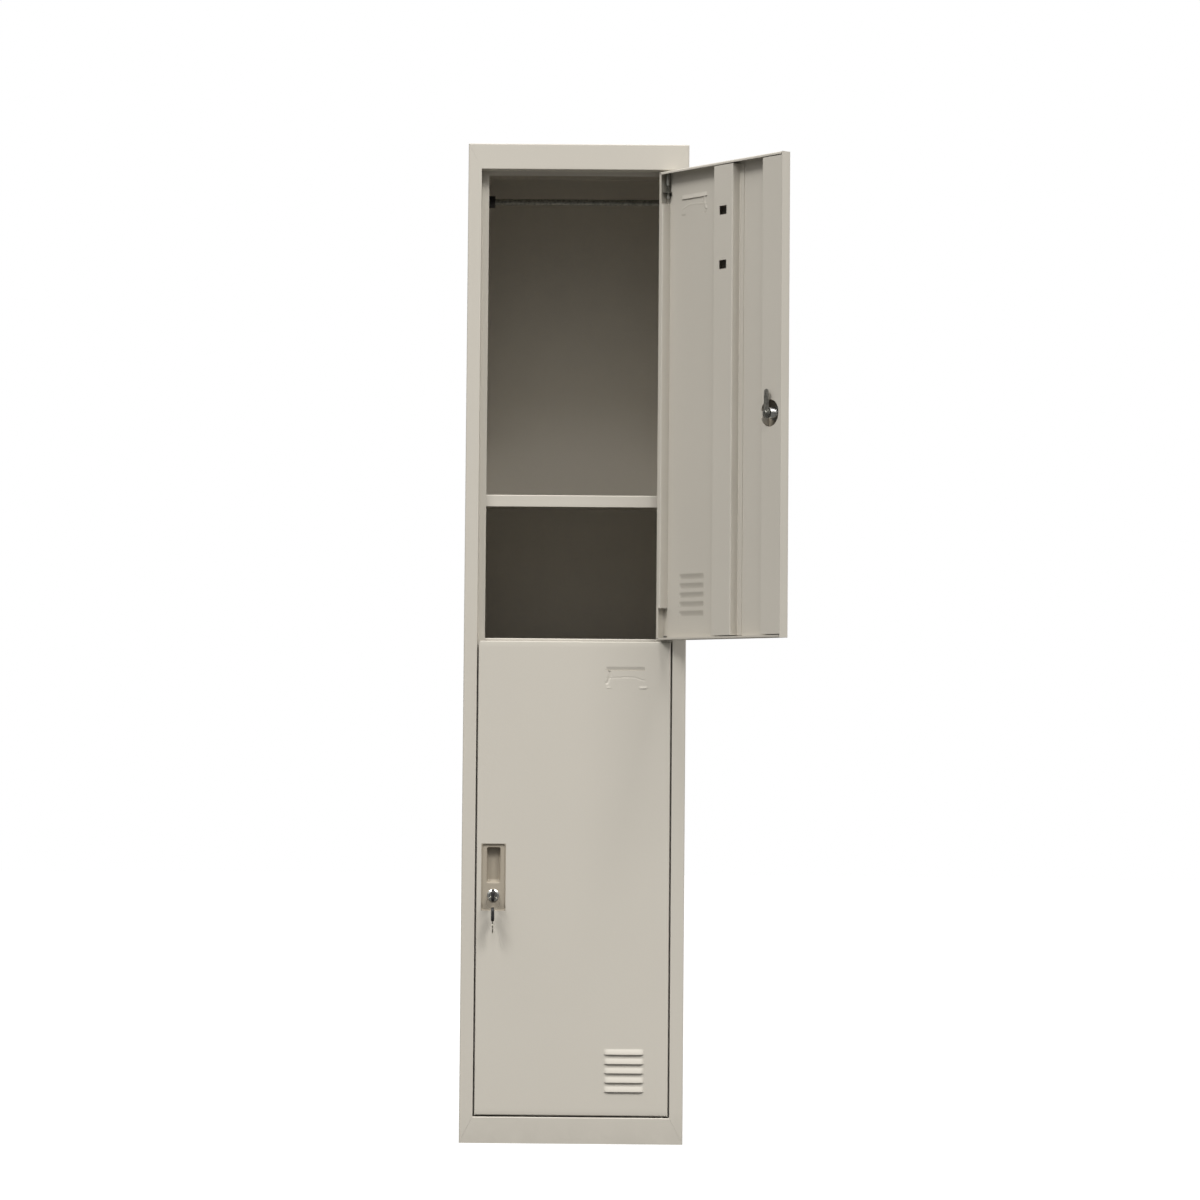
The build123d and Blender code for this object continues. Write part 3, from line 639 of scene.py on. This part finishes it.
            def spot(c, n):
                """A flange's vertex: the front's own on its first line, and round at the hole."""
                if n == 0:
                    return at[c, first]
                x, (y, z) = columns[c][0], path[n]
                dx, dy = x - HINGE.x, y - HINGE.y
                if abs(max(abs(dx), abs(dy)) - hole) < 1e-6:
                    angle = atan2(dy, dx)
                    x, y = HINGE.x + hole * cos(angle), HINGE.y + hole * sin(angle)
                return vertex((c, end, n), x, y, z)

            for c in flange[:-1]:
                for n in range(len(path) - 1):
                    xm = (columns[c][0] + columns[c + 1][0]) / 2
                    ym = (path[n][0] + path[n + 1][0]) / 2
                    if n in round_hole and max(abs(xm - HINGE.x), abs(ym - HINGE.y)) < hole:
                        continue
                    quad = [spot(c, n), spot(c + 1, n), spot(c + 1, n + 1), spot(c, n + 1)]
                    faces.append(tuple(quad if inward < 0 else quad[::-1]))
        obj = piece(tier + "_door_shell", *used_only(verts, faces), "Powder coat door",
                    tier + "_door", "powder_coated_steel", door_place(tier))
        thicken(obj, 0.0)
        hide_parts(tier + "_door_skin")


class LOCKER_OT_handles(bpy.types.Operator):
    """Pressed handle trays with a soft bevel and a sloping finger pocket"""
    bl_idname = "locker.handles"
    bl_label = "Handles"

    # tray, finger pocket about the tray's middle, and the lock's hole, in mm
    tray_deep, tray_corner, lock_hole = 2.5, 5.0, 9.6
    pocket_wide, pocket_low, pocket_high, pocket_corner = 25.0, -10.5, 53.5, 3.5
    pocket_deep, foot_deep, ledge = 12.3, 2.8, 5.0

    def execute(self, context):
        for tier in TIERS:
            self.handle(tier, context.scene.locker_sizes.tray_bevel)
        return {"FINISHED"}

    def depth(self, x, z, bevel):
        """How deep the sheet is pressed at a place on the tray."""
        half_w, half_h = TRAY_WIDE / 2, TRAY_TALL / 2
        # the bevel is narrower at the tray's foot
        edge = bevel if z > 0 else bevel * (1 - 0.6 * smooth_step((-z - half_h + 12) / 6))
        in_tray = inside(x, z, half_w, -half_h, half_h, self.tray_corner)
        tray = self.tray_deep * smooth_step((in_tray - 0.5) / edge)
        fall = clamp((self.pocket_low + self.ledge - z) / self.ledge)
        bottom = self.pocket_deep + (self.foot_deep - self.pocket_deep) * fall
        in_pocket = inside(x, z, self.pocket_wide / 2, self.pocket_low, self.pocket_high,
                           self.pocket_corner)
        return tray + bottom * smooth_step(in_pocket / 2.4)

    def handle(self, tier, bevel):
        """One handle tray from a grid that goes round the lock's hole."""
        hole, middle = self.lock_hole, door_middle(tier)

        def lines(half, centre, step):
            """Grid lines across the tray, with eight even spans over the hole among them."""
            block = [centre + hole * k / 4 for k in range(-4, 5)]
            before, after = ceil((block[0] + half) / step), ceil((half - block[-1]) / step)
            left = [-half + (block[0] + half) * k / before for k in range(before)]
            right = [block[-1] + (half - block[-1]) * k / after for k in range(1, after + 1)]
            return left + block + right

        xs = lines(TRAY_WIDE / 2, 0.0, 0.9)
        zs = lines(TRAY_TALL / 2, -LOCK_DROP, 1.0)
        verts, index = [], {}
        for i, x in enumerate(xs):
            for k, z in enumerate(zs):
                px, pz = x, z + LOCK_DROP
                if abs(max(abs(px), abs(pz)) - hole) < 1e-6:
                    angle = atan2(pz, px)
                    px, pz = hole * cos(angle), hole * sin(angle)
                index[i, k] = len(verts)
                verts.append((LOCK.x + px, FRONT + self.depth(x, z, bevel),
                              middle + pz - LOCK_DROP))
        faces = []
        for i in range(len(xs) - 1):
            for k in range(len(zs) - 1):
                cx, cz = (xs[i] + xs[i + 1]) / 2, (zs[k] + zs[k + 1]) / 2 + LOCK_DROP
                if max(abs(cx), abs(cz)) >= hole:
                    faces.append((index[i, k], index[i + 1, k], index[i + 1, k + 1],
                                  index[i, k + 1]))
        obj = piece(tier + "_handle_tray", *used_only(verts, faces), "Powder coat handle",
                    tier + "_door", "handle_insert", door_place(tier), sharp=60)
        thicken(obj, -1.0)
        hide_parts(tier + "_handle_plate")


class LOCKER_OT_locks(bpy.types.Operator):
    """Chrome lock faces, zinc nuts, cams and screws"""
    bl_idname = "locker.locks"
    bl_label = "Locks"

    def execute(self, context):
        for tier in TIERS:
            paint("Zinc plate", tier + "_lock_nut", tier + "_lock_cam", tier + "_cam_screw")
            paint("Chrome plate", tier + "_lock_plug")
            z = door_middle(tier) - LOCK_DROP
            verts, faces = turned(self.profile(), (LOCK.x, 0, z), (0, 1, 0))
            obj = piece(tier + "_lock_face", verts, faces, "Chrome plate", tier + "_door",
                        "lock_chrome", door_place(tier), sharp=35)
            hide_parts(tier + "_lock_barrel")
        return {"FINISHED"}

    def profile(self):
        """The threaded barrel and its face ring, as (radius, along) in mm."""
        bore, crest, root, pitch = 6.6, 9.45, 8.9, 1.5
        rear, thread = FRONT + 24.1, FRONT + 4.5
        out = [(bore, rear), (9.4, rear)]
        for n in range(int((rear - 1 - thread) / pitch), -1, -1):
            out += [(crest, thread + n * pitch + pitch / 2), (root, thread + n * pitch)]
        # the face ring: a rounded rim, then a cone that rises towards the plug
        out += [(crest, FRONT + 2.5), (10.9, FRONT + 2.42), (11.0, FRONT + 1.3)]
        out += [(10.4 + 0.6 * cos(radians(a)), FRONT + 1.1 - 0.6 * sin(radians(a)))
                for a in range(0, 61, 12)]
        out += [(10.2, FRONT + 0.38), (9.2, FRONT - 0.18), (8.2, FRONT - 0.72)]
        out += [(7.5, FRONT - 1.05), (7.1, FRONT - 1.1), (6.8, FRONT - 0.9), (bore, FRONT - 0.3)]
        return out


class LOCKER_OT_hinges(bpy.types.Operator):
    """Zinc hinge pins and brackets, with real coil springs"""
    bl_idname = "locker.hinges"
    bl_label = "Hinge pins and springs"

    def execute(self, context):
        sizes = context.scene.locker_sizes
        for tier in TIERS:
            paint("Zinc plate", tier + "_hinge_pin", tier + "_pin_bracket")
            lo, hi = low(tier + "_hinge_spring"), high(tier + "_hinge_spring")
            path = self.coil(lo, hi, sizes.coil_turns, sizes.spring_wire / 2)
            verts, faces = wire(path, sizes.spring_wire / 2)
            obj = piece(tier + "_coil_spring", verts, faces, "Spring wire", tier + "_door",
                        "spring_steel", sharp=60)
            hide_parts(tier + "_hinge_spring")
            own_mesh(obj)
        return {"FINISHED"}

    def coil(self, lo, hi, turns, wire_r):
        """Path of a coil spring that fills a box, with its end turns closed up."""
        centre, radius, closed = (lo + hi) / 2, (hi.x - lo.x) / 2 - wire_r, 0.6
        steps, path = turns * 18, []
        for n in range(steps + 1):
            turn = n / steps * turns
            run = clamp((turn - closed) / (turns - 2 * closed))
            share = smooth_step(run) * 0.25 + 0.75 * run
            z = lo.z + wire_r + (hi.z - lo.z - 2 * wire_r) * share
            path.append(Vector((centre.x + radius * cos(2 * pi * turn),
                                centre.y + radius * sin(2 * pi * turn), z)))
        return path


class LOCKER_OT_keys(bpy.types.Operator):
    """Moulded key grips, nickel blades and a split ring"""
    bl_idname = "locker.keys"
    bl_label = "Keys"

    # grip of a key in mm: length, height, thickness, corner radius, and its hole from the end
    grip_long, grip_tall, grip_thick, grip_corner = 25.0, 22.0, 5.5, 7.0
    hole_in, hole_r = 5.5, 3.0

    def execute(self, context):
        paint("Nickel plate", "key_blade", "spare_key_blade")
        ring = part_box("key_ring")
        centre = (Vector(ring[0]) + Vector(ring[1])) / 2 / MM
        wire_r = context.scene.locker_sizes.ring_wire / 2
        radius = (ring[1][2] - ring[0][2]) / 2 / MM - wire_r
        per_turn, path = 64, []
        for n in range(2 * per_turn + 1):
            turn = n / per_turn
            t = 2 * pi * turn - pi / 2
            shift = (turn - 1) * wire_r * 1.1
            path.append(centre + Vector((radius * cos(t), shift, radius * sin(t))))
        verts, faces = wire(path, wire_r, 12)
        split = piece("split_ring", verts, faces, "Nickel plate", "ring", "key_nickel", sharp=60)
        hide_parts("key_ring")
        places, faces = self.grip()
        lo, hi = low("key_bow"), high("key_bow")
        mid_z = (lo.z + hi.z) / 2
        verts = [(LOCK.x + x, lo.y + along, mid_z + across) for x, along, across in places]
        obj = piece("key_grip", verts, faces, "Moulded black plastic", "key", "black_plastic",
                    sharp=50)
        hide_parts("key_bow")
        lo, hi = low("spare_key_bow"), high("spare_key_bow")
        mid_y = (lo.y + hi.y) / 2
        verts = [(LOCK.x + x, mid_y + across, hi.z - along) for x, along, across in places]
        obj = piece("spare_key_grip", verts, faces, "Moulded black plastic", "spare_key",
                    "black_plastic", sharp=50)
        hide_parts("spare_key_bow")
        return {"FINISHED"}

    def reach(self, angle):
        """Distance from the hole's middle to the grip's rounded outline."""
        near, far = 0.0, 40.0
        half_w = self.grip_long / 2 - self.grip_corner
        half_h = self.grip_tall / 2 - self.grip_corner
        for _ in range(40):
            mid = (near + far) / 2
            x, z = self.hole_in + mid * cos(angle) - self.grip_long / 2, mid * sin(angle)
            dx, dz = abs(x) - half_w, abs(z) - half_h
            out = hypot(max(dx, 0), max(dz, 0)) + min(max(dx, dz), 0) > self.grip_corner
            near, far = (near, mid) if out else (mid, far)
        return near

    def grip(self):
        """A key's grip as (through its thickness, along, across its height), with soft edges."""
        count, half, edge = 72, self.grip_thick / 2, 1.5
        # rows of (share of the way out from the hole, inset in mm, offset through the thickness)
        rows = [(0, -0.5, -half), (0.2, 0, -half), (0.55, 0, -half), (0.8, 0, -half)]
        rows += [(1, edge * (1 - sin(t)), -half + edge * (1 - cos(t)))
                 for t in (0, 0.4, 0.8, 1.2, pi / 2)]
        rows += [(share, inset, -offset) for share, inset, offset in reversed(rows)]
        rows += [(0, 0, half - 0.5), (0, 0, -half + 0.5)]
        verts, rings = [], []
        for share, inset, offset in rows:
            rings.append(len(verts))
            for k in range(count):
                angle = 2 * pi * k / count
                out = self.hole_r + (self.reach(angle) - self.hole_r) * share - inset
                verts.append((offset, self.hole_in + out * cos(angle), out * sin(angle)))
        return verts, rings_to_faces(rings, count, closed=True)


class LOCKER_OT_stage(bpy.types.Operator):
    """Studio floor that reads white, three softboxes high above the front, and the camera"""
    bl_idname = "locker.stage"
    bl_label = "Stage"

    # softboxes, in metres: each stands at (x, y) and takes a share of the power
    softboxes = {"Left softbox": (-10.6, -12.7, 0.9), "Right softbox": (10.6, -12.7, 1.1),
                 "Front softbox": (0.0, -16.5, 0.3)}
    softbox_high, softbox_wide, softbox_aim = 20.0, 7.0, (0.0, 0.0, 0.8)

    def execute(self, context):
        studio = context.scene.locker_studio
        self.floor()
        self.room(context, studio)
        for name, (x, y, share) in self.softboxes.items():
            self.lamp(name, (x, y, self.softbox_high), studio.key_power * share)
        self.camera(context, studio)
        context.scene.view_settings.view_transform = "Standard"
        return {"FINISHED"}

    def floor(self):
        """A round floor that catches light and shade, and reads white to the camera."""
        count, radius = 96, 14.0
        angles = [2 * pi * k / count for k in range(count)]
        verts = [(0, 0, 0)] + [(radius * cos(a), radius * sin(a), 0) for a in angles]
        faces = [(0, 1 + k, 1 + (k + 1) % count) for k in range(count)]
        mesh = bpy.data.meshes.new("studio_floor")
        mesh.from_pydata(verts, [], faces)
        obj = bpy.data.objects.new("studio_floor", mesh)
        bpy.context.scene.collection.objects.link(obj)
        material, tree, place, shader = start("Studio vinyl")
        shade = add(tree, "ShaderNodeTexNoise", {
            "Vector": place, "Scale": 2.0, "Detail": 3.0}).outputs["Fac"]
        tint = add(tree, "ShaderNodeMix", {
            "Factor": shade, "A": linear("5A5A59"), "B": linear("60605F")}, data_type="RGBA")
        tree.links.new(tint.outputs["Result"], shader.inputs["Base Color"])
        shader.inputs["Roughness"].default_value = 0.9
        shader.inputs["Specular IOR Level"].default_value = 0.1
        # the sweep is lit separately, so that it runs into the white background behind it
        glow = add(tree, "ShaderNodeEmission", {"Color": (1, 1, 1, 1), "Strength": 0.95})
        ray = add(tree, "ShaderNodeLightPath").outputs["Is Camera Ray"]
        none = add(tree, "ShaderNodeEmission", {"Color": (0, 0, 0, 1), "Strength": 0.0})
        lit = add(tree, "ShaderNodeMixShader", {0: ray, 1: none.outputs[0], 2: glow.outputs[0]})
        both = add(tree, "ShaderNodeAddShader", {0: shader.outputs["BSDF"], 1: lit.outputs[0]})
        surface = next(n for n in tree.nodes if n.type == "OUTPUT_MATERIAL").inputs["Surface"]
        tree.links.new(both.outputs[0], surface)
        mesh.materials.append(material)

    def room(self, context, studio):
        """Light from all round, and a plain white background to the camera."""
        world = bpy.data.worlds.new("Studio")
        context.scene.world = world
        world.use_nodes = True
        tree = world.node_tree
        tree.nodes.clear()
        seen = add(tree, "ShaderNodeBackground", {"Color": (1, 1, 1, 1), "Strength": 1.0})
        # brighter overhead than at eye level, as under a studio's ceiling panels
        up = add(tree, "ShaderNodeTexCoord").outputs["Generated"]
        height = add(tree, "ShaderNodeSeparateXYZ", {"Vector": up}).outputs["Z"]
        level = add(tree, "ShaderNodeMapRange", {
            "Value": height, "From Min": 0.0, "From Max": 0.7,
            "To Min": studio.sky * 0.12, "To Max": studio.sky * 1.85})
        around = add(tree, "ShaderNodeBackground", {
            "Color": (1, 0.99, 0.97, 1), "Strength": level.outputs[0]})
        ray = add(tree, "ShaderNodeLightPath").outputs["Is Camera Ray"]
        both = add(tree, "ShaderNodeMixShader", {0: ray, 1: around.outputs[0], 2: seen.outputs[0]})
        add(tree, "ShaderNodeOutputWorld", {"Surface": both.outputs[0]})

    def lamp(self, name, spot, power):
        """A square softbox that faces the locker."""
        data = bpy.data.lights.new(name, "AREA")
        data.shape, data.size, data.size_y = "RECTANGLE", self.softbox_wide, self.softbox_wide
        data.energy, data.color = power, (1.0, 0.985, 0.96)
        obj = bpy.data.objects.new(name, data)
        obj.location = spot
        ahead = Vector(self.softbox_aim) - Vector(spot)
        obj.rotation_euler = ahead.to_track_quat("-Z", "Y").to_euler()
        bpy.context.scene.collection.objects.link(obj)

    def camera(self, context, studio):
        """The camera, turned, tilted and rolled from looking straight along Y."""
        turn, tilt, roll = (radians(v) for v in studio.aim)
        ahead = Vector((sin(turn) * cos(tilt), cos(turn) * cos(tilt), sin(tilt)))
        right = Vector((cos(turn), -sin(turn), 0))
        up = right.cross(ahead)
        right, up = right * cos(roll) + up * sin(roll), up * cos(roll) - right * sin(roll)
        data = bpy.data.cameras.new("Camera")
        data.sensor_width, data.lens, data.shift_y = 36.0, studio.lens, studio.rise
        data.clip_end = 100
        obj = bpy.data.objects.new("Camera", data)
        place = Matrix((right, up, -ahead)).transposed().to_4x4()
        place.translation = studio.eye
        obj.matrix_world = place
        context.scene.collection.objects.link(obj)
        context.scene.camera = obj


OPERATORS = (LOCKER_OT_stage, LOCKER_OT_cabinet, LOCKER_OT_doors, LOCKER_OT_handles,
             LOCKER_OT_locks, LOCKER_OT_hinges, LOCKER_OT_keys)


class LOCKER_PT_panel(bpy.types.Panel):
    """Sizes, colours and steps of the locker"""
    bl_idname = "LOCKER_PT_panel"
    bl_label = "School locker"
    bl_space_type = "VIEW_3D"
    bl_region_type = "UI"
    bl_category = "Locker"

    def draw(self, context):
        scene = context.scene
        for group in (scene.locker_sizes, scene.locker_colours, scene.locker_studio):
            box = self.layout.box()
            for name in group.bl_rna.properties.keys():
                if name not in ("rna_type", "name"):
                    box.prop(group, name)
        for step in OPERATORS:
            self.layout.operator(step.bl_idname)


CLASSES = (LockerSizes, LockerColours, LockerStudio, *OPERATORS, LOCKER_PT_panel)


def register():
    for cls in CLASSES:
        bpy.utils.register_class(cls)
    bpy.types.Scene.locker_sizes = PointerProperty(type=LockerSizes)
    bpy.types.Scene.locker_colours = PointerProperty(type=LockerColours)
    bpy.types.Scene.locker_studio = PointerProperty(type=LockerStudio)


def unregister():
    del bpy.types.Scene.locker_studio
    del bpy.types.Scene.locker_colours
    del bpy.types.Scene.locker_sizes
    for cls in reversed(CLASSES):
        bpy.utils.unregister_class(cls)


def main():
    register()
    bpy.ops.locker.stage()
    bpy.ops.locker.cabinet()
    bpy.ops.locker.doors()
    bpy.ops.locker.handles()
    bpy.ops.locker.locks()
    bpy.ops.locker.hinges()
    bpy.ops.locker.keys()
    bpy.context.view_layer.update()


if __name__ == "__main__":
    main()
